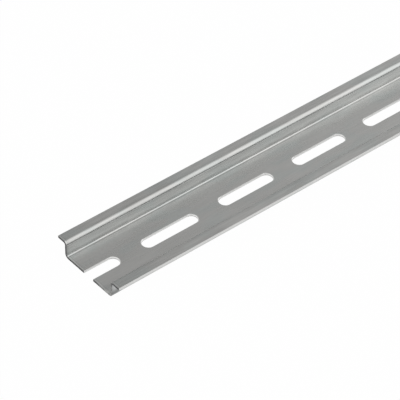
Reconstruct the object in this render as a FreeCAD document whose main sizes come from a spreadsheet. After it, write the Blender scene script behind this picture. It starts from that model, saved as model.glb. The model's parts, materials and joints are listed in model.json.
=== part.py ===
import FreeCAD, Part
import math
import os

import Sketcher

# A perforated top-hat mounting rail, 35 mm wide and 7.5 mm high: one strip of zinc-plated steel,
# 1 mm thick, punched with a row of slots, rolled to its section and cut to a stock length.
#
# The rail lies on its back with the channel open upwards. The origin is at the middle of its length
# and width, on the floor. +X runs along the rail, +Y across it and +Z up, out of the channel.
# The cut at the -X end goes through a slot, so that slot is open, and the row runs on from there.
# All sizes are in millimetres.

NODE = "top_hat_rail"

# Each driving size: its name in the sheet, its value, and what it is.
SIZES = [
    ("rail_length", 500.0, "stock length, from cut to cut"),
    ("rail_width", 35.0, "across both flanges, edge to edge"),
    ("rail_height", 7.5, "from the back of the web to the top of the flanges"),
    ("sheet_thickness", 1.0, "the strip that the rail is rolled from"),
    ("channel_width", 25.0, "between the inner faces of the two walls"),
    ("bend_radius", 0.8, "inside of each of the four bends"),
    ("slot_length", 25.0, "end to end, over its round ends"),
    ("slot_width", 5.2, "clears an M5 screw"),
    ("slot_bridge", 11.0, "metal left between one slot and the next"),
    ("open_slot_depth", 13.5, "what the cut at -X leaves of the first slot"),
    ("slot_edge_break", 0.2, "bevel for the roll-over on the side where the punch enters"),
    ("strip_edge_round", 0.15, "rounding of the strip's two long edges"),
]

# Two lengths nearer than this count as the same when edges are picked.
SAME_MM = 1e-4

START, END, CENTRE = 1, 2, 3
SKETCH_ORIGIN = (-1, START)
QUARTER_TURN = math.pi / 2


def write_sheet(doc):
    """Puts the driving sizes in the document's spreadsheet, one to a row."""
    sheet = doc.addObject("Spreadsheet::Sheet", "sizes")
    for row, (alias, value, meaning) in enumerate(SIZES, start=1):
        sheet.set(f"A{row}", alias)
        sheet.set(f"B{row}", str(value))
        sheet.set(f"C{row}", meaning)
        sheet.setAlias(f"B{row}", alias)
    doc.recompute()
    return sheet


def origin_feature(body, role):
    """Gives one of the body's own origin planes or axes."""
    return next(feature for feature in body.Origin.OriginFeatures if feature.Role == role)


def new_sketch(body, name, role):
    """Makes a sketch on one of the body's origin planes."""
    sketch = body.newObject("Sketcher::SketchObject", name)
    sketch.AttachmentSupport = [(origin_feature(body, role), "")]
    sketch.MapMode = "FlatFace"
    return sketch


def add_line(sketch, start, end):
    """Adds a line and keeps it horizontal or vertical, whichever it is drawn as."""
    line = sketch.addGeometry(Part.LineSegment(FreeCAD.Vector(*start), FreeCAD.Vector(*end)))
    direction = "Vertical" if start[0] == end[0] else "Horizontal"
    sketch.addConstraint(Sketcher.Constraint(direction, line))
    return line


def add_arc(sketch, centre, radius, first_quarter, quarters):
    """Adds an arc, counter-clockwise, that starts some quarter turns from the sketch's x axis."""
    circle = Part.Circle(FreeCAD.Vector(*centre), FreeCAD.Vector(0, 0, 1), radius)
    start = first_quarter * QUARTER_TURN
    return sketch.addGeometry(Part.ArcOfCircle(circle, start, start + quarters * QUARTER_TURN))


def join(sketch, kind, *ends):
    """Joins two ends, each a piece of the outline and which end of it, with Tangent or Coincident."""
    (first, first_end), (second, second_end) = ends
    sketch.addConstraint(Sketcher.Constraint(kind, first, first_end, second, second_end))


def drive(sketch, name, expression, kind, *elements):
    """Adds a dimension to the sketch and binds it to the sheet."""
    value = sketch.evalExpression(expression)
    index = sketch.addConstraint(Sketcher.Constraint(kind, *elements, value))
    sketch.renameConstraint(index, name)
    sketch.setExpression(f"Constraints.{name}", expression)


def draw_half_section(body, sheet):
    """Draws the section from its middle line to the edge of one flange, with its two bends."""
    thickness = sheet.sheet_thickness
    inner = sheet.bend_radius
    outer = inner + thickness
    wall = sheet.channel_width / 2
    edge = sheet.rail_width / 2
    top = sheet.rail_height
    low_bend = (wall - inner, outer)
    high_bend = (wall + outer, top - outer)

    sketch = new_sketch(body, "half_section", "YZ_Plane")
    web_top = add_line(sketch, (0, thickness), (low_bend[0], thickness))
    low_inside = add_arc(sketch, low_bend, inner, first_quarter=3, quarters=1)
    wall_inside = add_line(sketch, (wall, low_bend[1]), (wall, high_bend[1]))
    high_outside = add_arc(sketch, high_bend, outer, first_quarter=1, quarters=1)
    flange_top = add_line(sketch, (high_bend[0], top), (edge, top))
    flange_edge = add_line(sketch, (edge, top), (edge, top - thickness))
    flange_under = add_line(sketch, (edge, top - thickness), (high_bend[0], top - thickness))
    high_inside = add_arc(sketch, high_bend, inner, first_quarter=1, quarters=1)
    wall_outside = add_line(sketch, (wall + thickness, high_bend[1]), (wall + thickness, low_bend[1]))
    low_outside = add_arc(sketch, low_bend, outer, first_quarter=3, quarters=1)
    web_under = add_line(sketch, (low_bend[0], 0), (0, 0))
    middle = add_line(sketch, (0, 0), (0, thickness))

    join(sketch, "Tangent", (web_top, END), (low_inside, START))
    join(sketch, "Tangent", (low_inside, END), (wall_inside, START))
    join(sketch, "Tangent", (wall_inside, END), (high_outside, END))
    join(sketch, "Tangent", (high_outside, START), (flange_top, START))
    join(sketch, "Coincident", (flange_top, END), (flange_edge, START))
    join(sketch, "Coincident", (flange_edge, END), (flange_under, START))
    join(sketch, "Tangent", (flange_under, END), (high_inside, START))
    join(sketch, "Tangent", (high_inside, END), (wall_outside, START))
    join(sketch, "Tangent", (wall_outside, END), (low_outside, END))
    join(sketch, "Tangent", (low_outside, START), (web_under, START))
    join(sketch, "Coincident", (web_under, END), (middle, START))
    join(sketch, "Coincident", (middle, END), (web_top, START))
    join(sketch, "Coincident", (low_inside, CENTRE), (low_outside, CENTRE))
    join(sketch, "Coincident", (high_inside, CENTRE), (high_outside, CENTRE))
    join(sketch, "Coincident", (middle, START), SKETCH_ORIGIN)

    drive(sketch, "thickness", "sizes.sheet_thickness", "DistanceY", middle, START, middle, END)
    drive(sketch, "low_bend_radius", "sizes.bend_radius", "Radius", low_inside)
    drive(sketch, "high_bend_radius", "sizes.bend_radius", "Radius", high_inside)
    drive(sketch, "half_channel", "sizes.channel_width / 2", "DistanceX",
          *SKETCH_ORIGIN, wall_inside, START)
    drive(sketch, "half_width", "sizes.rail_width / 2", "DistanceX",
          *SKETCH_ORIGIN, flange_edge, START)
    drive(sketch, "height", "sizes.rail_height", "DistanceY", *SKETCH_ORIGIN, flange_edge, START)
    return sketch


def draw_first_slot(body, sheet):
    """Draws the slot that the cut at -X goes through, at its full length."""
    radius = sheet.slot_width / 2
    right = sheet.open_slot_depth - sheet.rail_length / 2 - radius
    left = right - (sheet.slot_length - sheet.slot_width)

    sketch = new_sketch(body, "first_slot", "XY_Plane")
    lower_side = add_line(sketch, (left, -radius), (right, -radius))
    right_end = add_arc(sketch, (right, 0), radius, first_quarter=3, quarters=2)
    upper_side = add_line(sketch, (right, radius), (left, radius))
    left_end = add_arc(sketch, (left, 0), radius, first_quarter=1, quarters=2)

    join(sketch, "Tangent", (lower_side, END), (right_end, START))
    join(sketch, "Tangent", (right_end, END), (upper_side, START))
    join(sketch, "Tangent", (upper_side, END), (left_end, START))
    join(sketch, "Tangent", (left_end, END), (lower_side, START))
    sketch.addConstraint(Sketcher.Constraint("PointOnObject", right_end, CENTRE, SKETCH_ORIGIN[0]))

    drive(sketch, "end_radius", "sizes.slot_width / 2", "Radius", right_end)
    drive(sketch, "straight_side", "sizes.slot_length - sizes.slot_width", "DistanceX",
          left_end, CENTRE, right_end, CENTRE)
    drive(sketch, "from_middle", "sizes.rail_length / 2 - sizes.open_slot_depth + sizes.slot_width / 2",
          "DistanceX", right_end, CENTRE, *SKETCH_ORIGIN)
    return sketch


def edge_names(shape, wanted):
    """Names the edges whose bounding box passes the test."""
    return [f"Edge{number}" for number, edge in enumerate(shape.Edges, start=1) if wanted(edge.BoundBox)]


def dress_edges(body, kind, name, base, size, wanted):
    """Adds a Fillet or a Chamfer to the edges of the base whose bounding box passes the test."""
    dressing = body.newObject(f"PartDesign::{kind}", name)
    dressing.Base = (base, edge_names(base.Shape, wanted))
    dressing.setExpression("Radius" if kind == "Fillet" else "Size", size)
    body.Tip = dressing
    body.Document.recompute()
    return dressing


def build_rail(doc, sheet):
    """Builds the rail: its section and length, its two long edges, and the row of slots."""
    body = doc.addObject("PartDesign::Body", NODE)
    body.Label = NODE
    doc.recompute()

    half = body.newObject("PartDesign::Pad", "rolled_half")
    half.Profile = draw_half_section(body, sheet)
    half.SideType = "Symmetric"
    half.setExpression("Length", "sizes.rail_length")
    doc.recompute()

    section = body.newObject("PartDesign::Mirrored", "rolled_section")
    section.Originals = [half]
    section.MirrorPlane = (origin_feature(body, "XZ_Plane"), [""])
    body.Tip = section
    doc.recompute()

    edge = sheet.rail_width / 2
    strip = dress_edges(body, "Fillet", "strip_edges", section, "sizes.strip_edge_round",
                        lambda box: abs(box.YMin) > edge - SAME_MM and box.YLength < SAME_MM
                        and box.XLength > SAME_MM)

    slot = body.newObject("PartDesign::Pocket", "slot")
    slot.Profile = draw_first_slot(body, sheet)
    slot.Type = "ThroughAll"
    slot.Reversed = True
    doc.recompute()

    row = body.newObject("PartDesign::LinearPattern", "slot_row")
    row.Originals = [slot]
    row.Direction = (origin_feature(body, "X_Axis"), [""])
    row.Mode = "Spacing"
    row.setExpression("Offset", "sizes.slot_length + sizes.slot_bridge")
    row.setExpression("Occurrences",
                      "ceil((sizes.rail_length - sizes.open_slot_depth + sizes.slot_length)"
                      " / (sizes.slot_length + sizes.slot_bridge))")
    body.Tip = row
    doc.recompute()
    if not strip.Shape.Volume > slot.Shape.Volume > row.Shape.Volume:
        raise RuntimeError("the slots cut nothing")

    side = sheet.slot_width / 2
    face = sheet.sheet_thickness
    dress_edges(body, "Chamfer", "slot_edges", row, "sizes.slot_edge_break",
                lambda box: abs(box.ZMin - face) < SAME_MM and box.ZLength < SAME_MM
                and max(-box.YMin, box.YMax) < side + SAME_MM)
    return body


def check(doc, body):
    """Stops where a feature has failed or the rail isn't one sound solid."""
    for item in doc.Objects:
        if "Invalid" in item.State or "Error" in item.State:
            raise RuntimeError(f"{item.Name} failed: {item.State}")
    shape = body.Shape
    if shape.isNull() or not shape.isValid() or len(shape.Solids) != 1:
        raise RuntimeError(f"{body.Label} isn't one valid solid")


def main():
    """Builds the rail, checks it and writes its STEP file."""
    doc = FreeCAD.newDocument("rail")
    sheet = write_sheet(doc)
    body = build_rail(doc, sheet)
    check(doc, body)
    os.makedirs("parts", exist_ok=True)
    body.Shape.exportStep(f"parts/{body.Label}.step")
    box = body.Shape.BoundBox
    print(f"{body.Label}: {box.XLength:.2f} x {box.YLength:.2f} x {box.ZLength:.2f} mm,"
          f" {body.Shape.Volume:.1f} mm3, {len(body.Shape.Faces)} faces")


main()
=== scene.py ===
import json
import logging
import math
from dataclasses import dataclass
from enum import Enum
from functools import reduce
from typing import Iterable

import bmesh
import bpy
from mathutils import Matrix, Vector


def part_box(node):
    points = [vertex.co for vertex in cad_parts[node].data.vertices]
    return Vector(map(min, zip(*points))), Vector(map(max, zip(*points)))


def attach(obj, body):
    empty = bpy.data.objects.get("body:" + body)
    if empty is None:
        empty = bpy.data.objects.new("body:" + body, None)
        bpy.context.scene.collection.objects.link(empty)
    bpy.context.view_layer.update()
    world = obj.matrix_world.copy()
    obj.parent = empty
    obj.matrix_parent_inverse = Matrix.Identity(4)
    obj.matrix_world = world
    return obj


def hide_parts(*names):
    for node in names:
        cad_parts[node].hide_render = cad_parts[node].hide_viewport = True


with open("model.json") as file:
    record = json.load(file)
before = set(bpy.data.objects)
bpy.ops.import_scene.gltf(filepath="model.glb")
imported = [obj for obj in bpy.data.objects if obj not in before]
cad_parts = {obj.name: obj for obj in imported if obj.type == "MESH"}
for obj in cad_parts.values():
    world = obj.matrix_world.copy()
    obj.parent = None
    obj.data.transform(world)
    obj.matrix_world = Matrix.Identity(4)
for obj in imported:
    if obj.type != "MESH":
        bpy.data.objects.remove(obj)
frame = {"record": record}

# A perforated top-hat mounting rail of zinc-plated steel, lying on its back on a white floor.
# Lengths are in metres, in the frame's axes: X along the rail, Y across it and Z up.

log = logging.getLogger("rail")

MM = 0.001
RAIL_NODE = "top_hat_rail"
BODY = "root"

# How far apart two points may lie that count as one.
SAME = 0.001 * MM

# The vertex attribute that says how deep in the sheet a point lies: 0 on its upper face and 1 on its
# lower one.
DEPTH = "sheet_depth"

# The vertex attribute that rises from 0 to 1 where a slot's round end starts, stays 1 round it, and is
# 0 elsewhere.
ROUND_END = "slot_round_end"

Colour = tuple[float, float, float]
Socket = bpy.types.NodeSocket
Edges = list[bmesh.types.BMEdge]


@dataclass(frozen=True)
class Section:
    """The rolled section of the rail, with its channel open upwards.

    Attributes:
        width: across both flanges, edge to edge.
        height: from the back of the web to the top of the flanges.
        thickness: of the strip.
        channel: between the inner faces of the two walls.
        bend: inside radius of each of the four bends.
    """

    width: float
    height: float
    thickness: float = 1.0 * MM
    channel: float = 25.0 * MM
    bend: float = 0.8 * MM

    @property
    def outer_bend(self) -> float:
        """Outside radius of each bend."""
        return self.bend + self.thickness

    @property
    def web_edge(self) -> float:
        """Distance from the middle to where the flat web ends."""
        return self.channel / 2 - self.bend

    @property
    def flange_start(self) -> float:
        """Distance from the middle to where the flat flange starts."""
        return self.channel / 2 + self.outer_bend


@dataclass(frozen=True)
class SlotRow:
    """The row of slots along the middle of the web.

    Attributes:
        length: of a slot, over its round ends.
        width: of a slot.
        pitch: from one slot's middle to the next.
        first: X of the first slot's middle; the rail's end cuts that slot open.
        count: how many slots are cut, whole or in part.
    """

    length: float
    width: float
    pitch: float
    first: float
    count: int

    def middles(self) -> list[float]:
        """X of each slot's middle, from the first."""
        return [self.first + self.pitch * step for step in range(self.count)]


def read_section() -> Section:
    """Reads the section's outer sizes from the frame."""
    low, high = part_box(RAIL_NODE)
    return Section(width=high.y - low.y, height=high.z - low.z)


def read_slots(record: dict, end: float) -> SlotRow:
    """Works the slot row out from the mounts that state it.

    Args:
        record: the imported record.
        end: X of the rail's far end.

    Returns:
        The row, with the open slots at both ends.
    """
    pairs = [mount for mount in record["mounts"] if mount["kind"] == "bolt_pattern"]
    pairs.sort(key=lambda mount: mount["dims"]["spacing_x_mm"], reverse=True)
    widest, second = (mount["dims"]["spacing_x_mm"] * MM for mount in pairs[:2])
    pitch = (widest - second) / 2
    length = pairs[0]["dims"]["slot_length_mm"] * MM
    first = pairs[0]["pos_m"][0] - widest / 2 - pitch
    count = math.ceil((end + length / 2 - first) / pitch)
    return SlotRow(length, 2 * pairs[0]["dims"]["hole_r_mm"] * MM, pitch, first, count)


class Surface(Enum):
    """The finishes on the rail, in the order of its material slots."""

    SHEET = 0
    PUNCHED = 1
    SHEARED = 2


@dataclass(frozen=True)
class Pattern:
    """A noise pattern in the object's own space.

    Attributes:
        per_metre: how many features to the metre along X, Y and Z.
        detail: how many finer layers it has.
        span: the values of the noise at which the pattern is at its least and at its most, where it
            isn't the noise as it comes.
    """

    per_metre: tuple[float, float, float]
    detail: float = 2.0
    span: tuple[float, float] | None = None


# The patterns on the plate, and the last three on the cut faces.
CLOUDS = Pattern((45, 110, 110), detail=3.0, span=(0.35, 0.65))
TINTED_PATCHES = Pattern((70, 190, 190), detail=1.0, span=(0.50, 0.62))
ROLLED_LINES = Pattern((4, 900, 900), detail=3.0)
STREAKS = Pattern((120, 1500, 1500), detail=3.0)
GRAIN = Pattern((900, 3000, 3000))
COMING_AND_GOING = Pattern((120, 60, 60), span=(0.4, 0.6))
# The waver of the painted highlight and shade at the sheared ends.
END_SHADING_WAVER = Pattern((600, 600, 600), detail=3.0, span=(0.3, 0.7))
RAGGED_BORDER = Pattern((1500, 1500, 300), span=(0.0, 1.0))
SCRATCHES = Pattern((2500, 2500, 500), detail=3.0)
FLECKS = Pattern((900, 900, 900), span=(0.35, 0.65))

# Most of a layered noise, and of a sum of such noises, lies between these.
USUAL_NOISE = (0.2, 0.8)


class Shading:
    """Adds nodes to a material's or the world's tree."""

    def __init__(self, tree: bpy.types.NodeTree) -> None:
        """Starts from an empty tree."""
        self.tree = tree
        tree.nodes.clear()

    def feed(self, socket: Socket, value: object) -> None:
        """Links an input from another node, or sets it.

        Args:
            socket: the input.
            value: the socket to link from, or a plain value.
        """
        if isinstance(value, Socket):
            self.tree.links.new(value, socket)
        else:
            socket.default_value = value

    def add(self, kind: str, inputs: dict[str, object] | None = None,
            **settings: object) -> bpy.types.Node:
        """Adds a node.

        Args:
            kind: the node's type, without its ShaderNode prefix.
            inputs: for each input socket by name, a value, or a socket to link from.
            settings: the node's own properties.

        Returns:
            The node.
        """
        node = self.tree.nodes.new("ShaderNode" + kind)
        for name, value in settings.items():
            setattr(node, name, value)
        for name, value in (inputs or {}).items():
            self.feed(node.inputs[name], value)
        return node

    def maths(self, operation: str, first: Socket | float, second: Socket | float = 0.0) -> Socket:
        """Works something out of one value or two.

        Args:
            operation: what a maths node calls it.
            first, second: the values, or sockets that give them.

        Returns:
            The result.
        """
        node = self.add("Math", operation=operation)
        self.feed(node.inputs[0], first)
        self.feed(node.inputs[1], second)
        return node.outputs[0]

    def product(self, *factors: Socket | float) -> Socket:
        """Multiplies two or more factors."""
        return reduce(lambda first, second: self.maths("MULTIPLY", first, second), factors)

    def weigh(self, first: Socket, second: Socket, share: float) -> Socket:
        """Adds up two sockets, the second with a share from 0 to 1 and the first with the rest."""
        return self.maths("ADD", self.product(first, 1.0 - share), self.product(second, share))

    def spread(self, value: Socket, low: float, high: float,
               start: float = 0.0, end: float = 1.0) -> Socket:
        """Maps one range of values onto another, and holds it at both ends.

        Args:
            value: what is mapped.
            low, high: the result at start and at end.
            start, end: the range that the value is taken from.

        Returns:
            The result.
        """
        node = self.add("MapRange", {"Value": value, "From Min": start, "From Max": end,
                                     "To Min": low, "To Max": high})
        return node.outputs["Result"]

    def blend(self, factor: Socket, first: Colour | Socket, second: Colour | Socket) -> Socket:
        """Blends two colours.

        Args:
            factor: how much of the second, from 0 to 1.
            first, second: the colours, or sockets that give them.

        Returns:
            The colour.
        """
        node = self.add("Mix", {"Factor": factor}, data_type="RGBA")
        inputs = [socket for socket in node.inputs if socket.type == "RGBA"]
        for socket, colour in zip(inputs, (first, second)):
            self.feed(socket, (*colour, 1.0) if isinstance(colour, tuple) else colour)
        return next(socket for socket in node.outputs if socket.type == "RGBA")

    def scale(self, colour: Socket, factor: Socket) -> Socket:
        """Multiplies a colour.

        Args:
            colour: the colour.
            factor: what it is multiplied by.

        Returns:
            The colour that comes of it.
        """
        node = self.add("VectorMath", {"Scale": factor}, operation="SCALE")
        self.feed(node.inputs[0], colour)
        return node.outputs[0]

    def place(self) -> tuple[Socket, ...]:
        """Gives X, Y and Z of the shaded point in the object's own space."""
        apart = self.add("SeparateXYZ", {"Vector": self.add("TexCoord").outputs["Object"]})
        return tuple(apart.outputs)

    def attribute(self, name: str) -> Socket:
        """Gives the value of one of the mesh's own attributes."""
        return self.add("Attribute", attribute_name=name).outputs["Fac"]

    def inwards(self, end: float) -> Socket:
        """Gives the distance inwards from the nearer of the planes at end and at -end along X."""
        return self.maths("SUBTRACT", end, self.maths("ABSOLUTE", self.place()[0]))

    def hump(self, value: Socket, start: float, top: float, end: float) -> Socket:
        """Gives 0 outside start and end, and rises to 1 at top."""
        return self.maths("MINIMUM", self.spread(value, 0.0, 1.0, start, top),
                          self.spread(value, 1.0, 0.0, top, end))

    def steps(self, value: Socket, stops: tuple[tuple[float, float], ...]) -> Socket:
        """Maps a value through stops, straight from each to the next.

        Args:
            value: from -1 to 1.
            stops: pairs of a value and the result there, in rising order.

        Returns:
            The result.
        """
        ramp = self.add("ValToRGB", {"Fac": self.spread(value, 0.0, 1.0, -1.0, 1.0)})
        elements = ramp.color_ramp.elements
        while len(elements) < len(stops):
            elements.new(1.0)
        for element, (place, result) in zip(elements, stops):
            element.position = (place + 1) / 2
            element.color = (result, result, result, 1.0)
        return ramp.outputs["Color"]

    def noise(self, pattern: Pattern, low: float = 0.0, high: float = 1.0) -> Socket:
        """Lays a noise pattern over the object.

        Args:
            pattern: the pattern.
            low, high: the result where the pattern is at its least and at its most, if it has a span.

        Returns:
            The result.
        """
        place = self.add("TexCoord").outputs["Object"]
        stretched = self.add("Mapping", {"Vector": place, "Scale": pattern.per_metre})
        noise = self.add("TexNoise", {"Vector": stretched.outputs["Vector"], "Scale": 1.0,
                                      "Detail": pattern.detail})
        if pattern.span is None:
            return noise.outputs["Fac"]
        return self.spread(noise.outputs["Fac"], low, high, *pattern.span)


def new_material(name: str) -> tuple[bpy.types.Material, Shading]:
    """Makes a material.

    Args:
        name: the material's name.

    Returns:
        The material, and its empty tree.
    """
    material = bpy.data.materials.new(name)
    material.use_nodes = True
    return material, Shading(material.node_tree)


class Across(Enum):
    """What a painted band's place on the section is measured along."""

    WIDTH = "distance from the middle"
    HEIGHT = "height over the back"


@dataclass(frozen=True)
class PaintedShadingBand:
    """A soft band of painted highlight along the rail, or of painted shade where its gain is below 0.

    Attributes:
        measure: what start, top and end are measured along.
        start, top, end: where it starts, is strongest and ends.
        gain: how much it lightens the plate, below 0 where it darkens it.
        later: what the gain has become further along the rail, if it changes.
        uneven: how much of it comes and goes along the rail, from 0 to 1.
        outside: whether it is only on the side of the sheet that the back is on.
    """

    measure: Across
    start: float
    top: float
    end: float
    gain: float
    later: float | None = None
    uneven: float = 0.0
    outside: bool = False


# Bands of painted highlight and shade: first those up the walls and round the bends, then those across
# the flanges and the web.
PAINTED_SHADING_BANDS = (
    PaintedShadingBand(Across.HEIGHT, 0.02 * MM, 0.6 * MM, 1.5 * MM, gain=0.3, outside=True),
    PaintedShadingBand(Across.HEIGHT, 1.5 * MM, 2.1 * MM, 3.4 * MM, gain=-0.32, later=-0.22, uneven=0.5),
    PaintedShadingBand(Across.HEIGHT, 4.7 * MM, 5.6 * MM, 6.1 * MM, gain=-0.10, later=-0.02),
    PaintedShadingBand(Across.HEIGHT, 5.8 * MM, 6.35 * MM, 6.8 * MM, gain=0.08),
    PaintedShadingBand(Across.WIDTH, 14.0 * MM, 16.8 * MM, 18.5 * MM, gain=-0.035, later=-0.06),
    PaintedShadingBand(Across.WIDTH, 13.2 * MM, 14.1 * MM, 15.2 * MM, gain=-0.10),
    PaintedShadingBand(Across.WIDTH, 11.6 * MM, 11.85 * MM, 12.1 * MM, gain=-0.3, later=0.05),
    PaintedShadingBand(Across.WIDTH, 9.8 * MM, 11.3 * MM, 11.9 * MM, gain=0.07, later=0.25),
    PaintedShadingBand(Across.WIDTH, 10.7 * MM, 11.3 * MM, 11.6 * MM, gain=0.13),
    PaintedShadingBand(Across.WIDTH, 7.0 * MM, 9.2 * MM, 10.4 * MM, gain=-0.09, later=0.03),
)


@dataclass(frozen=True)
class ZincPlate:
    """Bright zinc plate on cold-rolled strip: satin grey, clouded, faint lines along the rail, painted
    highlights and shade.

    Attributes:
        end: X of the rail's ends, at either side of the origin.
        plain, green, cool: the plate's colour, its colour in small patches, and on the walls.
        web_streaks, side_streaks: how much the streaks lighten and darken the web, and the rest.
        web_span: distances from the middle between which the web's streaks turn into the rest's.
        streaky_tone: how much of the light and dark is streaks, beside clouds.
        lined_wear: how much of the wear is rolled lines, beside clouds.
        smooth, dull: the plate's least and greatest roughness.
        relief: height of the rolled lines.
        grain_relief: height of the grain, as a share of that.
        bump: how strongly both show.
        marks: the bands of painted highlight and shade along the rail.
        change: distances from the -X end between which the marks change.
        wall_span: Z where the walls start and end.
        wall_fade: how far from there their colour fades in.
        end_shading: distance from a sheared end to where the painted highlight and shade beside it end.
        end_shading_waver: how far that end wavers to either side.
        end_shading_full: share of that distance over which they are at their full strength.
        end_shading_light, end_shading_wall: how much it lightens the web and the flanges, and the walls,
            below 0 where it darkens them.
        line_top, line_end: where the painted dark line behind them is darkest and ends, in multiples of
            scrape.
        line_dark: how much that line darkens.
        bend_shade_reach: distance from a sheared end to where the painted shade on the outside of the
            low bends ends.
        bend_shade_full: share of that distance over which the shade is at its full strength.
        bend_shade_height: Z where the shade starts, is strongest and ends.
        bend_shade_dark: how much it darkens.
        rim_highlight: how much painted highlight brightens the rim of the slots' round ends.
        rim_span: the values of ROUND_END between which that sets in.
    """

    end: float
    plain: Colour = (0.565, 0.565, 0.551)
    green: Colour = (0.545, 0.561, 0.549)
    cool: Colour = (0.556, 0.566, 0.561)
    web_streaks: float = 0.06
    side_streaks: float = 0.15
    web_span: tuple[float, float] = (11.0 * MM, 12.5 * MM)
    streaky_tone: float = 0.8
    lined_wear: float = 0.5
    smooth: float = 0.24
    dull: float = 0.32
    relief: float = 0.004 * MM
    grain_relief: float = 0.4
    bump: float = 0.5
    marks: tuple[PaintedShadingBand, ...] = PAINTED_SHADING_BANDS
    change: tuple[float, float] = (95 * MM, 150 * MM)
    wall_span: tuple[float, float] = (1.2 * MM, 6.8 * MM)
    wall_fade: float = 1.0 * MM
    end_shading: float = 0.55 * MM
    end_shading_waver: float = 0.15 * MM
    end_shading_full: float = 0.8
    end_shading_light: float = 0.14
    end_shading_wall: float = -0.21
    line_top: float = 1.35
    line_end: float = 1.9
    line_dark: float = 0.14
    bend_shade_reach: float = 4.5 * MM
    bend_shade_full: float = 0.5
    bend_shade_height: tuple[float, float, float] = (0.02 * MM, 1.0 * MM, 5.0 * MM)
    bend_shade_dark: float = 0.6
    rim_highlight: float = 0.6
    rim_span: tuple[float, float] = (0.96, 0.98)

    def material(self) -> bpy.types.Material:
        """Makes the material.

        Returns:
            The material.
        """
        material, shading = new_material("zinc_plate")
        clouds = shading.noise(CLOUDS)
        lines = shading.noise(ROLLED_LINES)
        height = shading.maths("ADD", lines, shading.product(shading.noise(GRAIN), self.grain_relief))
        bump = shading.add("Bump", {"Strength": self.bump, "Distance": self.relief, "Height": height})
        worn = shading.weigh(clouds, lines, self.lined_wear)
        # Bands of painted highlight and painted shade along the rail.
        rolled = [self._painted_shading(shading, mark) for mark in self.marks]
        shade = shading.product(self._streaked(shading, clouds), *rolled, self._painted_end_shading(shading),
                                self._painted_bend_shade(shading), self._painted_rim_highlight(shading))
        colour = shading.blend(shading.noise(TINTED_PATCHES), self.plain, self.green)
        colour = shading.blend(self._wall(shading), colour, self.cool)
        shader = shading.add("BsdfPrincipled", {
            "Base Color": shading.scale(colour, shade),
            "Metallic": 1.0,
            "Roughness": shading.spread(worn, self.smooth, self.dull, *USUAL_NOISE),
            "Normal": bump.outputs["Normal"],
        })
        shading.add("OutputMaterial", {"Surface": shader.outputs["BSDF"]})
        return material

    def _wall(self, shading: Shading) -> Socket:
        """Finds the walls.

        Args:
            shading: the material's tree.

        Returns:
            1 on the walls and 0 on the web and the flanges.
        """
        _, _, height = shading.place()
        start, end = self.wall_span
        return shading.maths("MINIMUM", shading.spread(height, 0.0, 1.0, start, start + self.wall_fade),
                             shading.spread(height, 1.0, 0.0, end - self.wall_fade, end))

    def _streaked(self, shading: Shading, clouds: Socket) -> Socket:
        """Lightens and darkens the plate in streaks, which are weaker on the web.

        Args:
            shading: the material's tree.
            clouds: the plate's clouds.

        Returns:
            The factor for the plate's colour.
        """
        tone = shading.weigh(clouds, shading.noise(STREAKS), self.streaky_tone)
        across = shading.maths("ABSOLUTE", shading.place()[1])
        depth = shading.spread(across, self.web_streaks, self.side_streaks, *self.web_span)
        lift = shading.product(depth, shading.spread(tone, -1.0, 1.0, *USUAL_NOISE))
        return shading.maths("ADD", 1.0, lift)

    def _painted_shading(self, shading: Shading, mark: PaintedShadingBand) -> Socket:
        """Paints one band of highlight, or of shade where its gain is below 0, on the plate.

        Args:
            shading: the material's tree.
            mark: the mark.

        Returns:
            The factor for the plate's colour.
        """
        along, across, height = shading.place()
        value = height if mark.measure is Across.HEIGHT else shading.maths("ABSOLUTE", across)
        strength = shading.hump(value, mark.start, mark.top, mark.end)
        if mark.uneven > 0.0:
            strength = shading.product(strength, shading.noise(COMING_AND_GOING, 1.0 - mark.uneven))
        if mark.outside:
            strength = shading.product(strength, shading.attribute(DEPTH))
        if mark.later is None:
            return shading.spread(strength, 1.0, 1.0 + mark.gain)
        start, end = (place - self.end for place in self.change)
        gain = shading.spread(along, mark.gain, mark.later, start, end)
        return shading.maths("ADD", 1.0, shading.product(strength, gain))

    def _painted_end_shading(self, shading: Shading) -> Socket:
        """Paints highlight and shade on the plate near each sheared end, and a dark line of painted
        shade behind them.

        Args:
            shading: the material's tree.

        Returns:
            The factor for the plate's colour.
        """
        waver = shading.noise(END_SHADING_WAVER, -self.end_shading_waver, self.end_shading_waver)
        inwards = shading.maths("ADD", shading.inwards(self.end), waver)
        gain = shading.spread(self._wall(shading), self.end_shading_light, self.end_shading_wall)
        near = shading.spread(inwards, 1.0, 0.0, self.end_shading_full * self.end_shading, self.end_shading)
        end_shading = shading.maths("ADD", 1.0, shading.product(near, gain))
        top, end = (self.end_shading * reach for reach in (self.line_top, self.line_end))
        line = shading.hump(inwards, self.end_shading, top, end)
        return shading.maths("SUBTRACT", end_shading, shading.product(line, self.line_dark))

    def _painted_bend_shade(self, shading: Shading) -> Socket:
        """Paints shade on the outside of the low bends near the sheared ends.

        Args:
            shading: the material's tree.

        Returns:
            The factor for the plate's colour.
        """
        _, _, height = shading.place()
        strip = shading.hump(height, *self.bend_shade_height)
        start = self.bend_shade_full * self.bend_shade_reach
        near = shading.spread(shading.inwards(self.end), 1.0, 0.0, start, self.bend_shade_reach)
        patch = shading.product(strip, shading.attribute(DEPTH), near)
        return shading.spread(patch, 1.0, 1.0 - self.bend_shade_dark)

    def _painted_rim_highlight(self, shading: Shading) -> Socket:
        """Paints a highlight on the rim of the slots' round ends."""
        return shading.spread(shading.attribute(ROUND_END), 1.0, 1.0 + self.rim_highlight, *self.rim_span)


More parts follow.
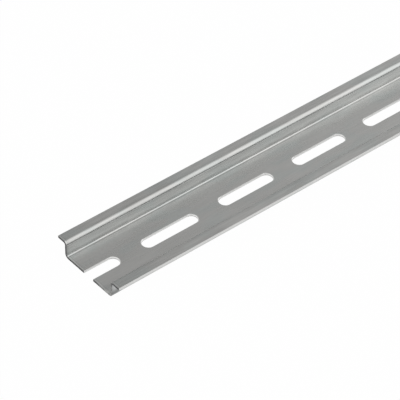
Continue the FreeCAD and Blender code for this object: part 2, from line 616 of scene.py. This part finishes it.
@dataclass(frozen=True)
class CutSteel:
    """A cut face of the strip: burnished where the tool slid, and torn below that.

    Attributes:
        name: of the material.
        burnished: colour of the upper band.
        torn: colour of the lower band.
        border: how far down the sheet the torn band starts, from 0 to 1.
        ragged: how far the border strays to either side.
        soft: half the border's own width.
        roughness: of the burnished and the torn band.
        scratch: depth of the scratches.
        bump: how strongly they show.
        round_end_shading: colours of both bands on the slots' round ends, if they differ there, in
            painted light and shade.
        polished_at: the middle of the place where the tool leaned and polished the cut, if there is one.
        polished_reach: from there to where the polish ends.
        polished_full: share of that distance in which the polish is at its full strength.
        polished: its colour.
        flecks: how much of the polish there is, from its dullest to its brightest flecks.
    """

    name: str
    burnished: Colour
    torn: Colour
    border: float
    roughness: tuple[float, float]
    ragged: float = 0.15
    soft: float = 0.05
    scratch: float = 0.01 * MM
    bump: float = 0.6
    round_end_shading: tuple[Colour, Colour] | None = None
    polished_at: Vector | None = None
    polished_reach: float = 7.0 * MM
    polished_full: float = 0.5
    polished: Colour = (0.38, 0.38, 0.37)
    flecks: tuple[float, float] = (0.4, 1.2)

    def material(self) -> bpy.types.Material:
        """Makes the material.

        Returns:
            The material.
        """
        material, shading = new_material(self.name)
        stray = shading.noise(RAGGED_BORDER, -self.ragged, self.ragged)
        depth = shading.maths("ADD", shading.attribute(DEPTH), stray)
        torn = shading.spread(depth, 0.0, 1.0, self.border - self.soft, self.border + self.soft)
        bump = shading.add("Bump", {"Strength": self.bump, "Distance": self.scratch,
                                    "Height": shading.noise(SCRATCHES)})
        colour = shading.blend(torn, self.burnished, self.torn)
        if self.round_end_shading is not None:
            round_end = shading.blend(torn, *self.round_end_shading)
            colour = shading.blend(shading.attribute(ROUND_END), colour, round_end)
        if self.polished_at is not None:
            colour = shading.blend(self._polish(shading), colour, self.polished)
        shader = shading.add("BsdfPrincipled", {
            "Base Color": colour,
            "Metallic": 1.0,
            "Roughness": shading.spread(torn, *self.roughness),
            "Normal": bump.outputs["Normal"],
        })
        shading.add("OutputMaterial", {"Surface": shader.outputs["BSDF"]})
        return material

    def _polish(self, shading: Shading) -> Socket:
        """Polishes the cut round one place, in uneven flecks.

        Args:
            shading: the material's tree.

        Returns:
            How polished the cut is.
        """
        away = shading.add("VectorMath", operation="DISTANCE")
        shading.feed(away.inputs[0], shading.add("TexCoord").outputs["Object"])
        shading.feed(away.inputs[1], self.polished_at)
        start = self.polished_full * self.polished_reach
        near = shading.spread(away.outputs["Value"], 1.0, 0.0, start, self.polished_reach)
        return shading.product(near, shading.noise(FLECKS, *self.flecks))


@dataclass
class TopHatRail:
    """The rail: one strip with its web, two walls, two flanges and the row of slots.

    Attributes:
        section: the rolled section.
        slots: the row of slots.
        near, far: X of the rail's two ends.
        bend_steps: facets across a bend.
        slot_steps: facets round a slot's end.
        slot_roll: rounding of a slot's upper edge.
        strip_round: rounding of the flanges' edges.
        burr: rounding of every other cut edge.
        edge_steps: facets across a rounded edge.
        sharp: least angle between two faces whose edge is rounded.
        nose_rise: how far along a slot's round end ROUND_END takes to reach 1, in the end's radii.
        nose_reach: how far from the end's middle a point still counts as on it, in the end's radii.
    """

    section: Section
    slots: SlotRow
    near: float
    far: float
    bend_steps: int = 10
    slot_steps: int = 24
    slot_roll: float = 0.2 * MM
    strip_round: float = 0.15 * MM
    burr: float = 0.05 * MM
    edge_steps: int = 3
    sharp: float = math.radians(60)
    nose_rise: float = 0.25
    nose_reach: float = 1.05

    def build(self) -> bpy.types.Object:
        """Models the rail, dresses it and puts it in place of the CAD node.

        Returns:
            The rail's object.
        """
        mesh = bpy.data.meshes.new("rail_sheet")
        model = bmesh.new()
        self._punch_web(model)
        for side in (1, -1):
            self._roll_side(model, side)
        self._thicken(model)
        self._sort_faces(model)
        self._weigh_edges(model)
        self._settle(model)
        model.to_mesh(mesh)
        model.free()
        rail = bpy.data.objects.new("rail", mesh)
        bpy.context.scene.collection.objects.link(rail)
        for material in self._finishes():
            mesh.materials.append(material)
        self._finish_edges(rail)
        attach(rail, BODY)
        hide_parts(RAIL_NODE)
        return rail

    def _punch_web(self, model: bmesh.types.BMesh) -> None:
        """Makes the flat web, as a row of cells with a slot each, cut off at both ends.

        Args:
            model: the mesh to add to.
        """
        for middle in self.slots.middles():
            self._web_cell(model, middle)
        self._settle(model)
        bmesh.ops.remove_doubles(model, verts=model.verts[:], dist=SAME)
        for end, outwards in ((self.near, -1), (self.far, 1)):
            everything = model.verts[:] + model.edges[:] + model.faces[:]
            bmesh.ops.bisect_plane(model, geom=everything, dist=SAME, plane_co=(end, 0, 0),
                                   plane_no=(outwards, 0, 0), clear_outer=True)
        bmesh.ops.recalc_face_normals(model, faces=model.faces[:])
        upside_down = [face for face in model.faces if face.normal.z < 0]
        bmesh.ops.reverse_faces(model, faces=upside_down)

    def _web_cell(self, model: bmesh.types.BMesh, middle: float) -> None:
        """Makes one pitch of the web: the slot's outline, and faces from it out to the cell's edge.

        Args:
            model: the mesh to add to.
            middle: X of the slot's middle.
        """
        top = self.section.thickness
        radius = self.slots.width / 2
        reach = self.slots.length / 2 - radius
        outline = self._slot_outline(model, middle, reach, radius, top)
        spread = bmesh.ops.extrude_edge_only(model, edges=outline)
        cell_edge = [item for item in spread["geom"] if isinstance(item, bmesh.types.BMVert)]
        beyond = self.slots.pitch / 2 - reach
        corner = math.atan2(self.section.web_edge, beyond)
        step = math.pi / self.slot_steps
        for vert in cell_edge:
            side = math.copysign(1.0, vert.co.x - middle)
            across = vert.co.y
            along = abs(vert.co.x - middle) - reach
            angle = math.atan2(abs(across), along)
            # The point that comes closest to the cell's corner goes right into it.
            if abs(angle - corner) < step / 2:
                angle = corner
            if angle <= corner:
                x, y = beyond, beyond * math.tan(angle)
            else:
                x, y = self.section.web_edge / math.tan(angle), self.section.web_edge
            vert.co.x = middle + side * (reach + x)
            vert.co.y = math.copysign(y, across)

    def _slot_outline(self, model: bmesh.types.BMesh, middle: float, reach: float, radius: float,
                      height: float) -> Edges:
        """Spins the slot's two round ends and joins them.

        Args:
            model: the mesh to add to.
            middle: X of the slot's middle.
            reach: from the slot's middle to the middle of a round end.
            radius: of the round ends.
            height: Z of the outline.

        Returns:
            The closed loop's edges.
        """
        start = last = model.verts.new((middle + reach, -radius, height))
        known = set(model.edges)
        for side in (1, -1):
            if side < 0:
                first = model.verts.new((middle - reach, radius, height))
                model.edges.new((last, first))
                last = first
            turned = bmesh.ops.spin(model, geom=[last], cent=(middle + side * reach, 0, height),
                                    axis=(0, 0, 1), angle=math.pi, steps=self.slot_steps)
            last = next(item for item in turned["geom_last"] if isinstance(item, bmesh.types.BMVert))
        model.edges.new((last, start))
        return [edge for edge in model.edges if edge not in known]

    def _roll_side(self, model: bmesh.types.BMesh, side: int) -> None:
        """Rolls one side of the strip: up from the web into a wall, and outwards into a flange.

        Args:
            model: the mesh, with its web.
            side: 1 for the +Y side and -1 for the other.
        """
        section = self.section
        web_edge = side * section.web_edge
        edges = [edge for edge in model.edges if edge.is_boundary
                 and all(abs(vert.co.y - web_edge) < SAME for vert in edge.verts)]
        low_bend = Vector((0, web_edge, section.outer_bend))
        edges = self._bend(model, edges, low_bend, side * math.pi / 2)
        rise = section.height - 2 * section.outer_bend
        edges = self._run(model, edges, Vector((0, 0, rise)))
        high_bend = Vector((0, side * section.flange_start, section.height - section.outer_bend))
        edges = self._bend(model, edges, high_bend, -side * math.pi / 2)
        flat = section.width / 2 - section.flange_start
        self._run(model, edges, Vector((0, side * flat, 0)))

    def _bend(self, model: bmesh.types.BMesh, edges: Edges, centre: Vector, angle: float) -> Edges:
        """Spins edges about a line along the rail.

        Args:
            model: the mesh to add to.
            edges: where the bend starts.
            centre: a point on the line.
            angle: how far the bend turns.

        Returns:
            The edges that the bend ends with.
        """
        verts = list(dict.fromkeys(vert for edge in edges for vert in edge.verts))
        turned = bmesh.ops.spin(model, geom=verts + edges, cent=centre, axis=(1, 0, 0), angle=angle,
                                steps=self.bend_steps)
        return [item for item in turned["geom_last"] if isinstance(item, bmesh.types.BMEdge)]

    @staticmethod
    def _run(model: bmesh.types.BMesh, edges: Edges, way: Vector) -> Edges:
        """Extrudes edges straight on.

        Args:
            model: the mesh to add to.
            edges: where the sheet goes on from.
            way: how far it goes, and in which direction.

        Returns:
            The edges at the end.
        """
        grown = bmesh.ops.extrude_edge_only(model, edges=edges)["geom"]
        verts = [item for item in grown if isinstance(item, bmesh.types.BMVert)]
        bmesh.ops.translate(model, verts=verts, vec=way)
        return [item for item in grown if isinstance(item, bmesh.types.BMEdge)]

    @staticmethod
    def _settle(model: bmesh.types.BMesh) -> None:
        """Sorts the mesh by its points' places, because the operators' order differs from run to run.

        Args:
            model: the mesh.
        """
        keys = ((model.verts, lambda vert: tuple(vert.co)),
                (model.edges, lambda edge: sorted(vert.index for vert in edge.verts)),
                (model.faces, lambda face: sorted(vert.index for vert in face.verts)))
        for items, key in keys:
            ranks = {item: rank for rank, item in enumerate(sorted(items, key=key))}
            items.sort(key=ranks.get)
            items.index_update()
        # A plain mesh takes over that order, has each edge run the same way, and hands both back.
        store = bpy.data.meshes.new("store")
        model.to_mesh(store)
        for edge in store.edges:
            edge.vertices = sorted(edge.vertices)
        model.clear()
        model.from_mesh(store)
        bpy.data.meshes.remove(store)

    def _thicken(self, model: bmesh.types.BMesh) -> None:
        """Gives the sheet its thickness, downwards and outwards, and writes both vertex attributes.

        Args:
            model: the mesh of the whole sheet.
        """
        self._settle(model)
        bmesh.ops.remove_doubles(model, verts=model.verts[:], dist=SAME)
        bmesh.ops.recalc_face_normals(model, faces=model.faces[:])
        if max(model.faces, key=lambda face: face.calc_area()).normal.z < 0:
            bmesh.ops.reverse_faces(model, faces=model.faces[:])
        depth = model.verts.layers.float.new(DEPTH)
        upper = set(model.verts)
        bmesh.ops.solidify(model, geom=model.faces[:], thickness=self.section.thickness)
        for vert in model.verts:
            vert[depth] = 0.0 if vert in upper else 1.0
        round_end = model.verts.layers.float.new(ROUND_END)
        for vert in model.verts:
            vert[round_end] = self._round_end(vert.co)

    def _round_end(self, place: Vector) -> float:
        """Says whether a point is on a slot's round end.

        Args:
            place: the point.

        Returns:
            1 on a round end, less close to where it starts, and 0 elsewhere.
        """
        radius = self.slots.width / 2
        middle = min(self.slots.middles(), key=lambda x: abs(x - place.x))
        along = abs(place.x - middle) - (self.slots.length / 2 - radius)
        if along <= 0 or math.hypot(along, place.y) >= self.nose_reach * radius:
            return 0.0
        return min(1.0, along / (self.nose_rise * radius))

    def _sort_faces(self, model: bmesh.types.BMesh) -> None:
        """Gives each face its finish: sheet, punched or slit edge, or sheared end.

        Args:
            model: the mesh.
        """
        depth = model.verts.layers.float[DEPTH]
        for face in model.faces:
            face.smooth = True
            if len({round(vert[depth]) for vert in face.verts}) == 1:
                face.material_index = Surface.SHEET.value
            elif self._at_end(face.verts):
                face.material_index = Surface.SHEARED.value
            else:
                face.material_index = Surface.PUNCHED.value

    def _at_end(self, verts: Iterable[bmesh.types.BMVert]) -> bool:
        """Says whether all the points lie on one of the rail's two end planes."""
        return any(all(abs(vert.co.x - end) < SAME for vert in verts)
                   for end in (self.near, self.far))

    def _weigh_edges(self, model: bmesh.types.BMesh) -> None:
        """Marks each sharp edge with its share of the widest rounding.

        Args:
            model: the mesh.
        """
        depth = model.verts.layers.float[DEPTH]
        weight = model.edges.layers.float.new("bevel_weight_edge")
        edge_of_strip = self.section.width / 2
        for edge in model.edges:
            if len(edge.link_faces) != 2 or edge.calc_face_angle() < self.sharp:
                continue
            size = self.burr
            if all(abs(abs(vert.co.y) - edge_of_strip) < SAME for vert in edge.verts):
                size = self.strip_round
            elif not self._at_end(edge.verts) and all(vert[depth] < 0.5 for vert in edge.verts):
                size = self.slot_roll
            edge[weight] = size / self.slot_roll

    def _finish_edges(self, rail: bpy.types.Object) -> None:
        """Rounds the marked edges, and keeps the flat faces flat in the shading.

        Args:
            rail: the rail's object.
        """
        rounding = rail.modifiers.new("edges", "BEVEL")
        rounding.limit_method = "WEIGHT"
        rounding.width = self.slot_roll
        rounding.segments = self.edge_steps
        rounding.profile = 0.5
        flats = rail.modifiers.new("flats", "WEIGHTED_NORMAL")
        flats.mode = "FACE_AREA"

    def _finishes(self) -> list[bpy.types.Material]:
        """Makes the finishes.

        Returns:
            The materials, in the order of Surface.
        """
        near_corner = Vector((self.near, -self.section.web_edge, self.section.thickness))
        # The slots' round ends get a lighter upper band, a painted highlight, and a darker lower band,
        # painted shade.
        punched = CutSteel("punched_edge", burnished=(0.63, 0.63, 0.62), torn=(0.73, 0.73, 0.72),
                           border=0.45, roughness=(0.28, 0.5),
                           round_end_shading=((0.90, 0.90, 0.89), (0.56, 0.56, 0.55)))
        sheared = CutSteel("sheared_end", burnished=(0.09, 0.09, 0.09), torn=(0.07, 0.07, 0.07),
                           border=0.45, roughness=(0.35, 0.55), polished_at=near_corner)
        finishes = {Surface.SHEET: ZincPlate(end=self.far), Surface.PUNCHED: punched,
                    Surface.SHEARED: sheared}
        return [finishes[surface].material() for surface in Surface]


@dataclass
class PhotoCamera:
    """The camera at the photograph's place.

    Attributes:
        near_end: X of the rail's end in the picture.
        aim: how far from that end along the rail, and from its middle across it, the point lies that
            the middle of the picture shows, on the back face's plane.
        distance: from that point.
        azimuth, elevation, roll: in degrees; at azimuth 0 it looks along +Y.
        lens: focal length on the default 36 mm sensor, in millimetres.
        nearest: the least distance at which it sees anything.
    """

    near_end: float
    aim: tuple[float, float] = (56.713 * MM, 6.825 * MM)
    distance: float = 832.075 * MM
    azimuth: float = -40.359
    elevation: float = 41.598
    roll: float = 0.927
    lens: float = 204.65
    nearest: float = 10 * MM

    def build(self) -> bpy.types.Object:
        """Makes the camera and sets it as the scene's.

        Returns:
            The camera.
        """
        target = Vector((self.near_end + self.aim[0], self.aim[1], 0))
        azimuth, elevation, roll = (math.radians(v) for v in (self.azimuth, self.elevation, self.roll))
        back = Vector((math.sin(azimuth) * math.cos(elevation), -math.cos(azimuth) * math.cos(elevation),
                       math.sin(elevation)))
        right = Vector((math.cos(azimuth), math.sin(azimuth), 0))
        up = back.cross(right)
        turned_right = right * math.cos(roll) + up * math.sin(roll)
        turned_up = back.cross(turned_right)
        data = bpy.data.cameras.new("photo_camera")
        data.lens = self.lens
        data.clip_start = self.nearest
        camera = bpy.data.objects.new("photo_camera", data)
        axes = Matrix((turned_right, turned_up, back)).transposed().to_4x4()
        camera.matrix_world = Matrix.Translation(target + back * self.distance) @ axes
        bpy.context.scene.collection.objects.link(camera)
        bpy.context.scene.camera = camera
        return camera


@dataclass
class Studio:
    """The white floor under a grey sky with one soft bright patch.

    Attributes:
        floor_size: side of the floor.
        floor_gap: from the rail's back down to the floor.
        floor_white: colour of the floor.
        own_light: how much of what shows of the floor is its own white.
        sky: the sky's brightness by the X of the direction, from -X to +X, as pairs of X and brightness.
        patch_way: direction of the bright patch.
        patch_light: what the patch adds to the sky at its middle.
        patch_edge: cosine of the angle from its middle to where it ends.
    """

    floor_size: float = 6.0
    floor_gap: float = 0.05 * MM
    floor_white: float = 0.95
    own_light: float = 0.985
    sky: tuple[tuple[float, float], ...] = ((-0.6, 0.60), (-0.1, 0.52), (0.1, 0.52),
                                            (0.36, 0.39), (0.64, 0.69))
    patch_way: Vector = Vector((0.560, -0.533, 0.635))
    patch_light: float = 0.79
    patch_edge: float = 0.65

    def build(self) -> None:
        """Makes the floor and the sky."""
        self._floor()
        self._sky()

    def _floor(self) -> None:
        """Lays the floor, which looks white and still takes the rail's shadow."""
        mesh = bpy.data.meshes.new("floor")
        model = bmesh.new()
        bmesh.ops.create_grid(model, x_segments=1, y_segments=1, size=self.floor_size / 2)
        bmesh.ops.translate(model, verts=model.verts[:], vec=(0, 0, -self.floor_gap))
        model.to_mesh(mesh)
        model.free()
        floor = bpy.data.objects.new("floor", mesh)
        bpy.context.scene.collection.objects.link(floor)
        material, shading = new_material("white_floor")
        rays = shading.add("LightPath").outputs
        seen = shading.maths("MAXIMUM", rays["Is Camera Ray"], rays["Is Glossy Ray"])
        seen = shading.maths("MAXIMUM", seen, rays["Is Transmission Ray"])
        paper = shading.add("BsdfDiffuse", {"Color": (*[self.floor_white] * 3, 1.0)})
        glow = shading.add("Emission", {"Color": (1, 1, 1, 1), "Strength": 1.0})
        mix = shading.add("MixShader", {"Fac": shading.product(seen, self.own_light)})
        shading.feed(mix.inputs[1], paper.outputs["BSDF"])
        shading.feed(mix.inputs[2], glow.outputs["Emission"])
        shading.add("OutputMaterial", {"Surface": mix.outputs["Shader"]})
        mesh.materials.append(material)

    def _sky(self) -> None:
        """Lights the studio: a grey that changes along the rail, and the patch."""
        world = bpy.data.worlds.new("studio")
        world.use_nodes = True
        shading = Shading(world.node_tree)
        way = shading.add("TexCoord").outputs["Generated"]
        along = shading.add("SeparateXYZ", {"Vector": way}).outputs["X"]
        plain = shading.steps(along, self.sky)
        towards = shading.add("VectorMath", operation="DOT_PRODUCT")
        shading.feed(towards.inputs[0], way)
        shading.feed(towards.inputs[1], self.patch_way.normalized())
        patch = shading.add("MapRange", {"Value": towards.outputs["Value"], "From Min": self.patch_edge,
                                         "To Max": self.patch_light}, interpolation_type="SMOOTHSTEP")
        grey = shading.maths("ADD", plain, patch.outputs["Result"])
        light = shading.add("Background", {"Color": (1.0, 1.0, 1.0, 1.0), "Strength": grey})
        shading.add("OutputWorld", {"Surface": light.outputs["Background"]})
        bpy.context.scene.world = world


def main() -> None:
    """Builds the rail, the studio and the camera."""
    logging.basicConfig(level=logging.INFO, format="%(name)s: %(message)s")
    bpy.context.scene.view_settings.view_transform = "Standard"
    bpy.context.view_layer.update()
    low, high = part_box(RAIL_NODE)
    slots = read_slots(frame["record"], high.x)
    rail = TopHatRail(read_section(), slots, near=low.x, far=high.x).build()
    log.info("rail: %d faces", len(rail.data.polygons))
    camera = PhotoCamera(near_end=low.x).build()
    log.info("camera: %.1f mm lens", camera.data.lens)
    Studio().build()
    log.info("studio: floor and sky")


if __name__ == "__main__":
    main()
